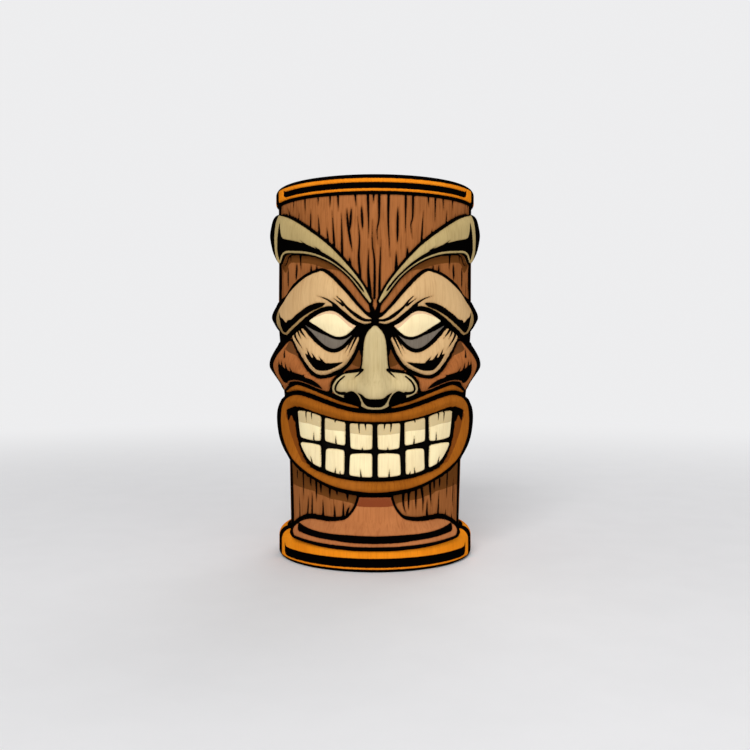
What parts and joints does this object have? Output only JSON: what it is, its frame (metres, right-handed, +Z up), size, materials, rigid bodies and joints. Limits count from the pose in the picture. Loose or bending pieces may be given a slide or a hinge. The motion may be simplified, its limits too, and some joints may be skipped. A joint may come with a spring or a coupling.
{
  "type": "tiki mug",
  "caption": "Tall wooden drinking mug carved as a grinning tiki face, with applied painted features, a rim ring, a base ring and a lift-out steel liner.",
  "frame": {"origin": "on the mug axis, at the middle of the flat underside that it stands on", "axes": "+Z up along the mug axis, the carved face looks towards -Y, +X is on the right of the picture"},
  "size_m": [0.0936, 0.0976, 0.16],
  "materials": {
    "log_wood": "stained reddish brown with burnt grain cracks, satin varnish",
    "plain_wood": "bare sanded wood",
    "orange_wood": "orange paint with black grooves, satin varnish",
    "liner_steel": "spun and brushed",
    "seal": "soft grey silicone",
    "horn_paint": "khaki paint with burnt black shading",
    "brow_paint": "tan paint with burnt black shading",
    "cream_paint": "cream paint, satin",
    "shade_paint": "grey paint",
    "nose_paint": "pale khaki paint",
    "cheek_stain": "stained reddish brown with burnt black shading",
    "lip_paint": "ochre brown paint",
    "mouth_black": "burnt black",
    "throat_paint": "terracotta paint with a black band"
  },
  "bodies": {
    "mug": {"log_body": "log_wood", "floor_disc": "plain_wood", "rim_ring": "orange_wood", "base_ring": "orange_wood", "liner_gasket": "seal", "nose": "nose_paint", "lips": "lip_paint", "mouth_plate": "mouth_black", "throat_panel": "throat_paint", "pegs": "plain_wood", "upper_brow_left": "horn_paint", "brow_left": "brow_paint", "eye_left": "cream_paint", "eye_shade_left": "shade_paint", "eye_bag_left": "brow_paint", "cheek_left": "cheek_stain", "lip_ridge_left": "lip_paint", "upper_tooth_left_1": "cream_paint", "upper_tooth_left_2": "cream_paint", "upper_tooth_left_3": "cream_paint", "lower_tooth_left_1": "cream_paint", "lower_tooth_left_2": "cream_paint", "lower_tooth_left_3": "cream_paint", "upper_brow_right": "horn_paint", "brow_right": "brow_paint", "eye_right": "cream_paint", "eye_shade_right": "shade_paint", "eye_bag_right": "brow_paint", "cheek_right": "cheek_stain", "lip_ridge_right": "lip_paint", "upper_tooth_right_1": "cream_paint", "upper_tooth_right_2": "cream_paint", "upper_tooth_right_3": "cream_paint", "lower_tooth_right_1": "cream_paint", "lower_tooth_right_2": "cream_paint", "lower_tooth_right_3": "cream_paint"},
    "liner": {"liner_cup": "liner_steel"}
  },
  "joints": [
    {"name": "liner_lift", "type": "slide", "parent": "mug", "child": "liner", "axis": [0, 0, 1], "range_m": [0, 0.16]}
  ]
}
